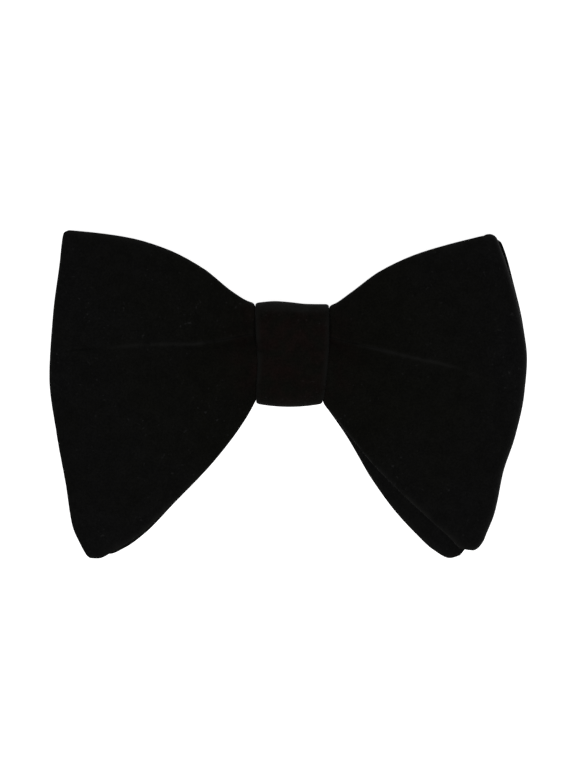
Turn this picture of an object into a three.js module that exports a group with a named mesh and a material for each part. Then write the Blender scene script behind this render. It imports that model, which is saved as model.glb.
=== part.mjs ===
// An oversized velvet bow tie lying on its back, in millimetres.
// Four padded wings are gathered into a knot band, and a collar clip sits behind the knot.
// +X is to the right and +Y is up as the bow is looked at from the front, and +Z points out of its front.
// The origin is the centre of the floor under the whole bow.
//
// The bow is laid out as a hand-tied one. Each of its two strips shows one open end, a single ply, and one
// fold, two plies joined at the wing's outer edge. In front the open end is on the left and the fold on the
// right, and behind it is the other way round.

import * as THREE from 'three';
import { mergeVertices } from 'three/addons/utils/BufferGeometryUtils.js';

// Cloth
const plyThickness = 2.6; // two faces of velvet with the padding between them
const gatheredThickness = 2.0; // the same ply, pressed inside the knot
const releasedAt = { from: 12, to: 26 }; // out from the knot's middle, where a ply gets its thickness back
const halvesGap = 0.6; // between the left and the right wings, inside the knot

// Knot band
const knotMiddle = { x: 1.1, y: 13.5 };
const knotHeight = 35.2;
const knotBack = 6.5;
const knotFront = 27.3;
const knotWall = 2.6;
const knotCorner = 6.2; // radius of the band's four bends, at the middle of its wall
const knotRimWall = 1.8; // the band thins towards its two rims
const knotCrown = 0.4; // how far the middle of its wall stands proud of the rims
const knotSteps = { round: 36, across: 6 };
// Half widths of the band left and right of its middle, at heights along its front.
const knotRims = [
  { up: -5, left: 12.0, right: 10.9 },
  { up: 2, left: 11.9, right: 11.3 },
  { up: 11, left: 11.5, right: 12.2 },
  { up: 20, left: 12.1, right: 12.6 },
  { up: 32, left: 12.3, right: 12.5 },
];

// Collar clip, a strip of sheet metal bent into a hook
const clipThickness = 0.8;
const clipHalfWidth = 7;
const clipEndRadius = 4; // of the corners at the ends of its legs
const clipEndSteps = [0, 0.4, 1.2, 2.4, clipEndRadius, 8]; // distances from a leg's end
const clipBendSteps = 8;
const clipGap = 4.6; // room for a collar between the legs
const clipBendY = 22.5; // where the legs meet the bend
const clipFrontEndY = 4;
const clipRearEndY = 0;

// Wings. A section is a line across a wing, from its lower edge to its upper one. Out is the distance from
// the knot's middle and up is the height in the bow's own frame. Share tells the sections apart: 0 is inside
// the knot and 1 is the outer edge, which is not straight, so it has a table of its own.
const insideKnot = [
  { share: 0, topOut: halvesGap / 2, topUp: 27.0, lowOut: halvesGap / 2, lowUp: -0.2 },
  { share: 0.13, topOut: 10.8, topUp: 27.1, lowOut: 10.8, lowUp: -0.4 },
];
const bulgeGrowth = 2.2; // power by which the sections take on the outer edge's bulge
const rimSteps = [0, 0.4, 1.3]; // distances from a rim, over which a wall rounds off
const rimRadius = plyThickness / 2;

// The gather crease runs out of the knot on every wing, and fades.
const creaseWidth = { atKnot: 4.6, perOut: 0.13 };
const creaseFade = { from: 12, over: 27 };
const edgeDropPower = 2.4;

const frontWingLeft = {
  side: -1,
  crease: { up: 21.4, slope: -0.09, depth: 4.4 },
  tipSag: 0.8,
  sections: [
    ...insideKnot,
    { share: 0.155, topOut: 12.6, topUp: 28.3, lowOut: 12.6, lowUp: -2.0 },
    { share: 0.18, topOut: 14.4, topUp: 31.5, lowOut: 14.2, lowUp: -5.4 },
    { share: 0.25, topOut: 20.0, topUp: 34.7, lowOut: 19.5, lowUp: -13.5 },
    { share: 0.37, topOut: 30.0, topUp: 42.4, lowOut: 28.5, lowUp: -24.8 },
    { share: 0.52, topOut: 42.0, topUp: 48.8, lowOut: 39.5, lowUp: -35.7 },
    { share: 0.67, topOut: 54.0, topUp: 52.5, lowOut: 50.5, lowUp: -46.4 },
    { share: 0.8, topOut: 64.0, topUp: 54.1, lowOut: 58.5, lowUp: -51.7 },
    { share: 0.92, topOut: 71.5, topUp: 54.9, lowOut: 65.0, lowUp: -54.7 },
    { share: 1, topOut: 75.9, topUp: 55.1, lowOut: 68.3, lowUp: -54.4 },
  ],
  outerEdge: [
    { up: -54.4, out: 68.3 },
    { up: -50.6, out: 70.9 },
    { up: -43.9, out: 73.7 },
    { up: -30, out: 75.8 },
    { up: -13.6, out: 78.8 },
    { up: 6, out: 81.3 },
    { up: 26.7, out: 80.1 },
    { up: 44, out: 77.9 },
    { up: 53.4, out: 76.8 },
    { up: 55.1, out: 75.9 },
  ],
  plies: [[
    { out: 0, z: 23.0, drop: 3.6 },
    { out: 12, z: 23.1, drop: 3.7 },
    { out: 20, z: 25.0, drop: 4.4 },
    { out: 42, z: 28.0, drop: 4.4 },
    { out: 64, z: 27.0, drop: 3.2 },
    { out: 82, z: 24.0, drop: 2.2 },
  ]],
};

const frontWingRight = {
  side: 1,
  crease: { up: 22.7, slope: -0.24, depth: 4.4 },
  tipSag: 0.8,
  sections: [
    ...insideKnot,
    { share: 0.155, topOut: 12.6, topUp: 28.4, lowOut: 12.4, lowUp: -3.6 },
    { share: 0.18, topOut: 14.4, topUp: 30.5, lowOut: 14.2, lowUp: -6.6 },
    { share: 0.25, topOut: 20.0, topUp: 34.1, lowOut: 19.5, lowUp: -13.4 },
    { share: 0.37, topOut: 30.0, topUp: 41.4, lowOut: 28.0, lowUp: -23.7 },
    { share: 0.52, topOut: 42.0, topUp: 47.0, lowOut: 38.5, lowUp: -34.2 },
    { share: 0.67, topOut: 52.5, topUp: 50.2, lowOut: 47.0, lowUp: -42.0 },
    { share: 0.8, topOut: 60.5, topUp: 52.2, lowOut: 53.5, lowUp: -47.6 },
    { share: 0.92, topOut: 66.0, topUp: 53.7, lowOut: 58.3, lowUp: -51.8 },
    { share: 1, topOut: 69.4, topUp: 53.7, lowOut: 61.3, lowUp: -52.0 },
  ],
  outerEdge: [
    { up: -52.0, out: 61.3 },
    { up: -48.9, out: 64.3 },
    { up: -43.9, out: 66.6 },
    { up: -36, out: 68.8 },
    { up: -26, out: 71.1 },
    { up: -13.6, out: 75.2 },
    { up: 0, out: 78.4 },
    { up: 12, out: 79.1 },
    { up: 27, out: 76.7 },
    { up: 40, out: 73.3 },
    { up: 50, out: 70.7 },
    { up: 53.7, out: 69.4 },
  ],
  plies: [[
    { out: 0, z: 23.0, drop: 3.6 },
    { out: 12, z: 23.1, drop: 3.7 },
    { out: 20, z: 25.0, drop: 4.4 },
    { out: 42, z: 28.0, drop: 4.2 },
    { out: 64, z: 27.4, drop: 3.2 },
    { out: 82, z: 25.4, drop: 2.6 },
  ], [
    { out: 0, z: 19.8, drop: 3.6 },
    { out: 12, z: 19.8, drop: 3.7 },
    { out: 20, z: 19.6, drop: 3.8 },
    { out: 42, z: 17.8, drop: 1.8 },
    { out: 64, z: 15.8, drop: -0.6 },
    { out: 82, z: 15.0, drop: -1.9 },
  ]],
};

const backWingLeft = {
  side: -1,
  crease: { up: 21.4, slope: -0.09, depth: 4.4 },
  tipSag: 0.2,
  sections: [
    ...insideKnot,
    { share: 0.155, topOut: 12.6, topUp: 28.2, lowOut: 12.6, lowUp: -2.2 },
    { share: 0.18, topOut: 14.4, topUp: 30.2, lowOut: 14.2, lowUp: -5.5 },
    { share: 0.25, topOut: 20.0, topUp: 34.0, lowOut: 19.5, lowUp: -13.7 },
    { share: 0.37, topOut: 30.0, topUp: 41.6, lowOut: 28.5, lowUp: -24.8 },
    { share: 0.52, topOut: 42.0, topUp: 48.0, lowOut: 39.5, lowUp: -36.1 },
    { share: 0.67, topOut: 54.0, topUp: 51.8, lowOut: 50.0, lowUp: -46.7 },
    { share: 0.8, topOut: 63.5, topUp: 53.3, lowOut: 57.0, lowUp: -51.6 },
    { share: 0.92, topOut: 70.5, topUp: 53.9, lowOut: 62.5, lowUp: -53.7 },
    { share: 1, topOut: 74.6, topUp: 53.7, lowOut: 66.0, lowUp: -53.6 },
  ],
  outerEdge: [
    { up: -53.6, out: 66.0 },
    { up: -50, out: 69.6 },
    { up: -43, out: 72.6 },
    { up: -30, out: 75.2 },
    { up: -13, out: 78.4 },
    { up: 6, out: 80.6 },
    { up: 26, out: 79.8 },
    { up: 43, out: 77.6 },
    { up: 52.5, out: 75.6 },
    { up: 53.7, out: 74.6 },
  ],
  plies: [[
    { out: 0, z: 19.8, drop: 3.6 },
    { out: 12, z: 19.8, drop: 3.7 },
    { out: 20, z: 19.0, drop: 3.8 },
    { out: 42, z: 16.6, drop: 4.2 },
    { out: 64, z: 14.0, drop: 4.4 },
    { out: 82, z: 12.0, drop: 4.5 },
  ], [
    { out: 0, z: 16.5, drop: 3.2 },
    { out: 12, z: 16.3, drop: 3.2 },
    { out: 20, z: 13.4, drop: 3.0 },
    { out: 42, z: 6.8, drop: 2.6 },
    { out: 64, z: 3.5, drop: 2.2 },
    { out: 82, z: 2.75, drop: 1.6 },
  ]],
};

const backWingRight = {
  side: 1,
  crease: { up: 22.7, slope: -0.24, depth: 4.4 },
  tipSag: 0.9,
  sections: [
    ...insideKnot,
    { share: 0.155, topOut: 12.6, topUp: 28.0, lowOut: 12.4, lowUp: -4.2 },
    { share: 0.18, topOut: 14.4, topUp: 29.6, lowOut: 14.2, lowUp: -7.5 },
    { share: 0.25, topOut: 20.0, topUp: 33.6, lowOut: 19.5, lowUp: -15.6 },
    { share: 0.37, topOut: 30.5, topUp: 40.8, lowOut: 27.0, lowUp: -28.6 },
    { share: 0.52, topOut: 43.0, topUp: 46.4, lowOut: 35.0, lowUp: -39.6 },
    { share: 0.67, topOut: 54.0, topUp: 49.6, lowOut: 42.0, lowUp: -47.2 },
    { share: 0.8, topOut: 62.5, topUp: 51.0, lowOut: 47.5, lowUp: -52.3 },
    { share: 0.92, topOut: 68.0, topUp: 51.9, lowOut: 52.5, lowUp: -55.1 },
    { share: 1, topOut: 70.9, topUp: 51.8, lowOut: 57.4, lowUp: -54.1 },
  ],
  outerEdge: [
    { up: -54.1, out: 57.4 },
    { up: -51, out: 59.4 },
    { up: -44, out: 62.5 },
    { up: -30, out: 67.5 },
    { up: -14, out: 73.6 },
    { up: 0, out: 77.9 },
    { up: 12, out: 79.5 },
    { up: 24, out: 78.1 },
    { up: 38, out: 74.9 },
    { up: 48, out: 72.3 },
    { up: 51.8, out: 70.9 },
  ],
  plies: [[
    { out: 0, z: 16.5, drop: 3.2 },
    { out: 12, z: 16.3, drop: 3.2 },
    { out: 20, z: 13.4, drop: 3.0 },
    { out: 42, z: 6.8, drop: 2.6 },
    { out: 64, z: 3.5, drop: 2.2 },
    { out: 82, z: 2.9, drop: 1.6 },
  ]],
};

// The shares of a wing's length that get a row of points, on the way out and at a single ply's outer edge.
const sectionShares = [
  0, 0.075, 0.13, 0.155, 0.18, 0.21, 0.25, 0.31, 0.37, 0.44, 0.52, 0.6, 0.68, 0.76, 0.83, 0.89,
];
const openEndShares = [0.94, 0.975, 0.992, 1];
const acrossSteps = 11;
// The share at which two plies start to turn round into their outer fold.
const foldShare = 0.935;
const foldSteps = 6;

const velvet = () => new THREE.MeshStandardMaterial({ color: '#0d0c0c', roughness: 0.95, metalness: 0 });
const steel = () => new THREE.MeshStandardMaterial({ color: '#9b9da0', roughness: 0.35, metalness: 1 });

// The value of a table's column at a place between its rows, on a smooth curve that never overshoots them.
function along(rows, by, column, place) {
  const last = rows.length - 1;
  const secant = (k) => (rows[k + 1][column] - rows[k][column]) / (rows[k + 1][by] - rows[k][by]);
  const slope = (k) => {
    if (k === 0) return secant(0);
    if (k === last) return secant(last - 1);
    const [before, after] = [secant(k - 1), secant(k)];
    return before * after <= 0 ? 0 : (2 * before * after) / (before + after);
  };
  let i = 0;
  while (i < last - 1 && place > rows[i + 1][by]) i += 1;
  const step = rows[i + 1][by] - rows[i][by];
  const t = THREE.MathUtils.clamp((place - rows[i][by]) / step, 0, 1);
  const [square, cube] = [t * t, t * t * t];
  return (2 * cube - 3 * square + 1) * rows[i][column] + (cube - 2 * square + t) * step * slope(i)
    + (3 * square - 2 * cube) * rows[i + 1][column] + (cube - square) * step * slope(i + 1);
}

// How thick a wall is at a distance from its rim, as a share: a round rim of the given radius.
function rounded(distance, radius) {
  const inward = THREE.MathUtils.clamp(distance / radius, 0, 1);
  return Math.sqrt(1 - (1 - inward) ** 2);
}

// Places across a piece of the given length, as shares: close together at both rims and even between them.
function sharesAcross(length, steps) {
  const rims = rimSteps.map((distance) => distance / length);
  const even = Array.from({ length: steps - 1 }, (_, k) => (k + 1) / steps);
  return [...rims, ...even, ...rims.map((rim) => 1 - rim).reverse()];
}

// A closed wall about a grid of points, with half its thickness on each side of every point.
// A closed grid's last row joins its first, as in a ring.
function thickened(points, halves, closed = false) {
  const [rows, columns] = [points.length, points[0].length];
  const edge = columns - 1;
  const at = (i, j) => points[closed ? (i + rows) % rows : THREE.MathUtils.clamp(i, 0, rows - 1)][
    THREE.MathUtils.clamp(j, 0, edge)];
  const faces = [1, -1].map((sign) => points.map((row, i) => row.map((point, j) => {
    const tangent = at(i + 1, j).clone().sub(at(i - 1, j));
    const across = at(i, j + 1).clone().sub(at(i, j - 1));
    return point.clone().addScaledVector(tangent.cross(across).normalize(), sign * halves[i][j]);
  })));
  const [outer, inner] = faces;
  const quads = [];
  const rowPairs = closed ? rows : rows - 1;
  for (let i = 0; i < rowPairs; i += 1) {
    const next = (i + 1) % rows;
    for (let j = 0; j < edge; j += 1) {
      quads.push([outer[i][j], outer[next][j], outer[next][j + 1], outer[i][j + 1]]);
      quads.push([inner[i][j], inner[i][j + 1], inner[next][j + 1], inner[next][j]]);
    }
    quads.push([outer[i][0], inner[i][0], inner[next][0], outer[next][0]]);
    quads.push([outer[i][edge], outer[next][edge], inner[next][edge], inner[i][edge]]);
  }
  if (!closed) {
    const end = rows - 1;
    for (let j = 0; j < edge; j += 1) {
      quads.push([outer[0][j], outer[0][j + 1], inner[0][j + 1], inner[0][j]]);
      quads.push([outer[end][j], inner[end][j], inner[end][j + 1], outer[end][j + 1]]);
    }
  }
  const corners = quads.flatMap(([a, b, c, d]) => [a, b, c, a, c, d]);
  return welded(new THREE.BufferGeometry().setFromPoints(corners));
}

// The same triangles with shared corners, less those that have shrunk to a line where a wall runs out.
function welded(geometry) {
  const merged = mergeVertices(geometry, 1e-4);
  const index = merged.index.array;
  const kept = [];
  for (let k = 0; k < index.length; k += 3) {
    const [a, b, c] = [index[k], index[k + 1], index[k + 2]];
    if (a !== b && b !== c && c !== a) kept.push(a, b, c);
  }
  merged.setIndex(kept);
  return merged;
}

// A wing's plan at a share of its length and a share of its height, as out and up.
// A fold's skin stands half a ply outside the middle of its wall, so its plan is narrower by that much.
function planOf(wing, share, height) {
  const column = (name, place) => along(wing.sections, 'share', name, place);
  const mix = THREE.MathUtils.lerp;
  const endUp = mix(column('lowUp', 1), column('topUp', 1), height);
  const endOut = mix(column('lowOut', 1), column('topOut', 1), height);
  const inset = wing.plies.length > 1 ? plyThickness / 2 : 0;
  const bulge = along(wing.outerEdge, 'up', 'out', endUp) - endOut - inset;
  return {
    out: mix(column('lowOut', share), column('topOut', share), height) + bulge * share ** bulgeGrowth,
    up: mix(column('lowUp', share), column('topUp', share), height),
  };
}

// How high the middle of a ply lies: its rise out of the knot, less the sag of its lower tip, the drop to its
// edges and the crease.
function heightOf(wing, ply, plan, share, height) {
  const base = along(ply, 'out', 'z', plan.out) - wing.tipSag * (share * (1 - height)) ** 2;
  const drop = along(ply, 'out', 'drop', plan.out) * Math.abs(2 * height - 1) ** edgeDropPower;
  const { up, slope, depth } = wing.crease;
  const beyond = Math.max(plan.out - creaseFade.from, 0);
  const fade = Math.exp(-((beyond / creaseFade.over) ** 2));
  const width = creaseWidth.atKnot + creaseWidth.perOut * beyond;
  const aside = (plan.up - up - slope * plan.out) / width;
  return base - drop - depth * fade * Math.exp(-(aside ** 2));
}

// The rows of points of a wing, each with the share at which its height is read, the one at which its plan
// is read, and how far round the fold it is: none on the front ply and half a turn on the rear one.
function rowsOf(wing) {
  const row = (share, turn) => ({ share, turn, planShare: share });
  if (wing.plies.length === 1) return [...sectionShares, ...openEndShares].map((share) => row(share, 0));
  const fold = Array.from({ length: foldSteps + 1 }, (_, k) => {
    const turn = (Math.PI * k) / foldSteps;
    return { share: foldShare, turn, planShare: foldShare + (1 - foldShare) * Math.sin(turn) };
  });
  return [
    ...sectionShares.map((share) => row(share, 0)),
    ...fold,
    ...sectionShares.map((share) => row(share, Math.PI)).reverse(),
  ];
}

// The middle of a wing's wall at one point of a row. Round a fold it swings from the front ply to the rear.
function middleOf(wing, { share, turn, planShare }, height) {
  const plan = planOf(wing, planShare, height);
  const zs = wing.plies.map((ply) => heightOf(wing, ply, planOf(wing, share, height), share, height));
  const [front, rear] = [zs[0], zs[zs.length - 1]];
  return new THREE.Vector3(plan.out, plan.up, (front + rear) / 2 + ((front - rear) / 2) * Math.cos(turn));
}

// Half the wall's thickness there: thin in the knot, full further out, and rounded off at the wing's edges.
function halfOf(wing, planShare, height, length) {
  const { out } = planOf(wing, planShare, height);
  const release = THREE.MathUtils.smoothstep(out, releasedAt.from, releasedAt.to);
  const half = THREE.MathUtils.lerp(gatheredThickness, plyThickness, release) / 2;
  const side = rounded(Math.min(height, 1 - height) * length, rimRadius);
  const openEnd = wing.plies.length > 1 ? 1 : rounded(planOf(wing, 1, height).out - out, rimRadius);
  return half * side * openEnd;
}

// One wing. A single ply runs out to a sewn edge, and a pair of plies turns round at its fold.
function wingGeometry(wing) {
  const points = [];
  const halves = [];
  for (const row of rowsOf(wing)) {
    const [low, top] = [0, 1].map((height) => planOf(wing, row.planShare, height));
    const length = Math.hypot(top.out - low.out, top.up - low.up);
    const heights = sharesAcross(length, acrossSteps);
    points.push(heights.map((height) => middleOf(wing, row, height)));
    halves.push(heights.map((height) => halfOf(wing, row.planShare, height, length)));
  }
  // A left wing mirrors a right one, so its rows run the other way to keep its faces outward.
  if (wing.side < 0) {
    points.flat().forEach((point) => point.setX(-point.x));
    [...points, ...halves].forEach((row) => row.reverse());
  }
  return thickened(points, halves).translate(knotMiddle.x, 0, 0);
}

// The knot band: a padded strip that runs once round the gathered wings.
function knotGeometry() {
  const halfUp = (knotHeight - knotWall) / 2;
  const halfDeep = (knotFront - knotBack - knotWall) / 2;
  const middleZ = (knotFront + knotBack) / 2;
  const [flatUp, flatDeep] = [halfUp - knotCorner, halfDeep - knotCorner];
  const round = new THREE.Path();
  round.absarc(flatUp, flatDeep, knotCorner, 0, Math.PI / 2);
  round.absarc(-flatUp, flatDeep, knotCorner, Math.PI / 2, Math.PI);
  round.absarc(-flatUp, -flatDeep, knotCorner, Math.PI, Math.PI * 1.5);
  round.absarc(flatUp, -flatDeep, knotCorner, Math.PI * 1.5, Math.PI * 2);
  round.closePath();
  const ring = round.getSpacedPoints(knotSteps.round).slice(0, knotSteps.round);
  const points = [];
  const halves = [];
  ring.forEach((place, i) => {
    const ahead = ring[(i + 1) % ring.length];
    const behind = ring[(i + ring.length - 1) % ring.length];
    const outward = new THREE.Vector2(ahead.y - behind.y, behind.x - ahead.x).normalize();
    const left = along(knotRims, 'up', 'left', place.x + knotMiddle.y);
    const right = along(knotRims, 'up', 'right', place.x + knotMiddle.y);
    const shares = sharesAcross(left + right, knotSteps.across);
    points.push(shares.map((share) => {
      const crown = -knotCrown * (2 * share - 1) ** 2;
      const [up, deep] = [place.x + outward.x * crown, place.y + outward.y * crown];
      return new THREE.Vector3(
        knotMiddle.x - left + share * (left + right), knotMiddle.y + up, middleZ + deep);
    }));
    halves.push(shares.map((share) => THREE.MathUtils.lerp(knotWall, knotRimWall, (2 * share - 1) ** 2) / 2
      * rounded(Math.min(share, 1 - share) * (left + right), knotRimWall / 2)));
  });
  return thickened(points, halves, true);
}

// The collar clip: a flat front leg behind the knot, a round bend over the collar, and a flat rear leg.
function clipGeometry() {
  const bendRadius = (clipGap + clipThickness) / 2;
  const rearZ = clipThickness / 2;
  const frontZ = rearZ + 2 * bendRadius;
  const leg = (endY, z) => clipEndSteps.map((distance) => {
    const corner = clipEndRadius * (1 - rounded(distance, clipEndRadius));
    return { y: endY + distance, z, half: clipHalfWidth - corner };
  });
  const bend = Array.from({ length: clipBendSteps + 1 }, (_, k) => {
    const turn = (Math.PI * k) / clipBendSteps;
    return {
      y: clipBendY + bendRadius * Math.sin(turn),
      z: rearZ + bendRadius + bendRadius * Math.cos(turn),
      half: clipHalfWidth,
    };
  });
  const rows = [...leg(clipFrontEndY, frontZ), ...bend, ...leg(clipRearEndY, rearZ).reverse()];
  const points = rows.map(({ y, z, half }) => [-1, 1].map(
    (side) => new THREE.Vector3(knotMiddle.x + side * half, y, z)));
  const halves = rows.map(() => [clipThickness / 2, clipThickness / 2]);
  return thickened(points, halves);
}

// A back wing lies on the floor.
function onFloor(geometry) {
  geometry.computeBoundingBox();
  return geometry.translate(0, 0, -geometry.boundingBox.min.z);
}

const bowTie = new THREE.Group();
const addPiece = (name, geometry, material) => {
  const piece = new THREE.Mesh(geometry, material);
  piece.name = name;
  bowTie.add(piece);
};

addPiece('front_wing_left', wingGeometry(frontWingLeft), velvet());
addPiece('front_wing_right', wingGeometry(frontWingRight), velvet());
addPiece('back_wing_left', onFloor(wingGeometry(backWingLeft)), velvet());
addPiece('back_wing_right', onFloor(wingGeometry(backWingRight)), velvet());
addPiece('knot_band', knotGeometry(), velvet());
addPiece('collar_clip', clipGeometry(), steel());

export default bowTie;
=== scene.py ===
# An oversized bow tie of black velvet, lying on its back with its front face up.
# The tables are in millimetres and the meshes in metres. Looked at from the front, +X is to the right
# and +Y is up, and +Z points out of the front. The origin is the centre of the floor under the bow.
#
# Each strip of the bow shows one open end, a single padded ply, and one fold, two plies joined at the
# wing's outer edge. In front the open end is on the left and the fold on the right, and behind it is
# the other way round.

import math

import bmesh
import bpy
import numpy as np
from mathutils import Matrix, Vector


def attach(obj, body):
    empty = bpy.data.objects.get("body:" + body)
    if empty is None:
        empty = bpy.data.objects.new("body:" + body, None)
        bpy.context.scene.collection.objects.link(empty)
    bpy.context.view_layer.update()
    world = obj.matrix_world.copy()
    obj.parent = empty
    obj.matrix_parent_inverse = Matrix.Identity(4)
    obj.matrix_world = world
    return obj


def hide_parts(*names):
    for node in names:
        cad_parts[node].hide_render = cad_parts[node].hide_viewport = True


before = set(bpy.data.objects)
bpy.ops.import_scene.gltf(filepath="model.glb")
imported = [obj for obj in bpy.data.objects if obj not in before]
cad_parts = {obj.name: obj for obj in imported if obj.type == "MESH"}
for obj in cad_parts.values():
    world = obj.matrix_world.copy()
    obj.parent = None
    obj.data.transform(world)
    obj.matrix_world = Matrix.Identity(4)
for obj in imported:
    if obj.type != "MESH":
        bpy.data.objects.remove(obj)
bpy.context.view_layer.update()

MILLIMETRE = 0.001


def table(columns, *rows):
    """A short table, as one array for each of its named columns."""
    return dict(zip(columns.split(), np.array(rows, float).T))


# Cloth
PLY_THICKNESS = 2.6  # two faces of velvet with the padding between them
GATHERED_THICKNESS = 2.0  # the same ply, pressed inside the knot
RELEASED_FROM, RELEASED_TO = 12.0, 26.0  # out from the knot's middle, where a ply swells out again
HALVES_GAP = 0.6  # between the left and the right wings, inside the knot
SEAM_MERGE = 0.02  # points closer than this are one
WING_FILL, KNOT_FILL = 0.25, 0.4  # how tight the padding is

# A turned edge: the two faces roll over and dip into the seam that joins them.
# Inset is from the wing's outline, and full is the share of the wall's thickness there.
TURNED_EDGE = table(
    "inset full",
    (0.34, 0.0),
    (0.06, 0.2),
    (0.0, 0.4),
    (0.14, 0.58),
    (0.45, 0.76),
    (0.95, 0.92),
    (1.7, 1.0),
)

# Knot band
KNOT_MIDDLE_X, KNOT_MIDDLE_Y = 1.1, 13.45
KNOT_HEIGHT = 35.3
KNOT_BACK, KNOT_FRONT = 6.5, 27.3
KNOT_WALL = 2.6
KNOT_CORNER = 6.2  # radius of the band's four bends, at the middle of its wall
KNOT_RIM_WALL = 1.8  # the band thins towards its two rims
KNOT_CROWN = 0.4  # how far the middle of its wall stands proud of the rims
KNOT_STEPS_ROUND, KNOT_STEPS_ACROSS = 132, 22
KNOT_CORNER_STEPS = 24
KNOT_ENDS = (0.5, 1.0)  # shares of its half height, over which its shape turns into its ends' own
KNOT_FACE = (0.2, 0.9)  # how squarely its wall looks forward, from its bends to its front face
KNOT_TOP = (0.45, 0.75)  # and how squarely it looks up, over the bend at its top, where a highlight is painted
# Half widths of the band left and right of its middle, at heights along its front.
KNOT_RIMS = table(
    "up left right",
    (-5, 12.0, 9.9),
    (2, 11.9, 11.3),
    (11, 11.5, 12.2),
    (20, 12.1, 12.6),
    (32, 12.3, 12.5),
)

# A folded edge, as the knot band's two rims have: one smooth roll.
FOLDED_RIM = table(
    "inset full",
    (0.0, 0.0),
    (0.05, 0.34),
    (0.2, 0.62),
    (0.5, 0.88),
    (0.95, 1.0),
)
# How the top of the knot rises and dips from its left rim to its right one.
KNOT_TOP_WAVE = table("across rise", (-12.5, 0.5), (-7, 0.55), (-1, 0.02), (4.5, -0.5), (8, -0.35),
                      (12.5, 0.1))
KNOT_LOW_CROWN = 0.3  # how much more its lower end is crowned than the rest
# Soft upright folds that the pull of the knot leaves in its front.
KNOT_FOLDS = table(
    "across up depth width reach",
    (-5.6, 17.0, 0.34, 1.5, 9.0),
    (3.6, 27.5, 0.38, 1.9, 7.5),
    (5.2, 3.0, 0.3, 1.8, 7.0),
)

# The seam that closes the band: how far round it from the top's front edge, and its groove.
KNOT_SEAM = 0.883
SEAM_DEPTH, SEAM_WIDTH = 0.5, 0.8
SEAM_PINCH = 0.35  # share of the wall's thickness
SEAM_WEAR = 0.6  # how far the pile has opened along it

# Collar clip, a strip of sheet metal bent into a hook
CLIP_THICKNESS = 0.8
CLIP_HALF_WIDTH = 7
CLIP_END_RADIUS = 4  # of the corners at the ends of its legs
CLIP_CORNER_STEPS = (0.0, 0.03, 0.12, 0.28, 0.5, 0.75, 1.0)  # shares of that radius
CLIP_BEND_STEPS = 28
CLIP_GAP = 4.6
CLIP_BEND_Y = 22.5  # where the legs meet the bend
CLIP_FRONT_END_Y = 4
CLIP_REAR_END_Y = 0
CLIP_EDGE = 0.16  # how far its edges are worn round
CLIP_EDGE_STEPS = 2
CLIP_EDGE_ANGLE = 50  # degrees: a blunter edge than this isn't worn

# Hand sewing: slip stitches across the band's seam, and tacks over the front leg of the clip.
THREAD = 0.42
THREAD_SIDES = 8
STITCH_STEPS = 7.0  # along one, and as many more as its squareness
STITCH_SEED = 7
SLIP_STITCH = {"Spacing": 2.3, "Length": 2.1, "Rise": 0.2, "Dip": 0.55, "Squareness": 2.4, "Slant": 0.3}
TACK = {"Spacing": 0.62, "Length": 15.6, "Rise": 0.28, "Dip": 1.5, "Squareness": 40.0, "Slant": 0.015}
SLIP_STITCH_ENDS = 1.3  # how far in from the band's rims they start and end
TACKS_Y = ((6.4, 9.3), (16.4, 19.3))

# Cloth simulation. Every padded ply swells and buckles a little between its seams.
CLOTH_FRAMES = 14
CLOTH_PRESSURE = 5.0
SPARE_CLOTH = 0.012  # how much longer the velvet is than its flat pattern, which buckles it
CLOTH_ROOM = 1.05  # how far a point may move, in millimetres, where nothing holds it
SEAM_ROOM = 0.12  # and how far beside a seam or at a fold, as a share of that
TINY = 1e-9  # keeps a move and its room from being nothing
LOOSE_FROM, LOOSE_TO = 13.0, 32.0  # out from the knot's middle, where the knot lets the cloth go
SEAM_HOLDS = 9.0  # how far in from a seam or a fold the cloth is held back by it
KNOT_LOOSE = 0.4  # how free the outer face of the knot is
KNOT_RIM_HOLDS = 5.0  # how far in from a rim of the knot

# Wear of the pile, and the highlights painted with it
EDGE_WEAR_AND_HIGHLIGHT_WIDTH = 1.0  # in from a turned edge, where the pile has opened and a highlight is painted
KNOT_TOP_HIGHLIGHT = 0.9  # how strong the painted highlight is over the bend at the top of the knot

# Finishes, in metres. Each pattern in the velvet has a size, a detail and a roughness.
VELVET_PATTERNS = {
    "brushed": (0.022, 3.0, 0.55),  # patches that brushing leaves in the pile
    "ruffled": (0.0045, 3.0, 0.6),  # finer ones, that handling leaves
    "tufts": (0.0007, 2.0, 0.6),  # drawn three times as coarse as they are so that they show
    "faded": (0.0052, 4.0, 0.6),  # where the black has turned warm
    "lint": (0.0013, 1.0, 0.5),
    "littered": (0.022, 2.0, 0.6),  # where the lint has gathered
}
# What comes of a pattern's value: where it starts and is full, and how much it is at each of them.
VELVET_SHARES = {
    "brightness": ("ruffled", 0.3, 0.7, 0.88, 1.12),
    "grain": ("tufts", 0.3, 0.7, 0.8, 1.2),
    "warmth": ("faded", 0.3, 0.74, 0.0, 1.0),
    "by the knot": ("from the knot", 0.03, 0.008, 0.0, 1.0),  # out from its middle, in metres
    "flecks": ("lint", 0.67, 0.79, 0.0, 1.0),
    "clusters": ("littered", 0.35, 0.65, 0.0, 1.0),
    # Breaks up the opened pile and the painted highlight on it.
    "highlight_and_openness": ("ruffled", 0.2, 0.6, 0.0, 1.0),
}
# From the black by the knot to the black outside: where, out from the knot's middle, and how far the
# brushed patches carry one into the other.
OUTSIDE = {"From Min": 0.02, "From Max": 0.085, "To Min": -0.9, "To Max": 0.2}
BRUSHED_BLEND = 1.6
BRUSHED_RISE = 2.0  # how much more the brushed patches raise the pile than its tufts do
PILE_DEPTH = 0.00012
SHEEN = 0.05
BRUSH_LINE, BRUSH_STRETCH = 0.004, 12  # length of the steel's brushed lines, and over their width
TWIST_SCALE = 0.3  # a wave as long as this, in metres, has scale 1

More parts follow.
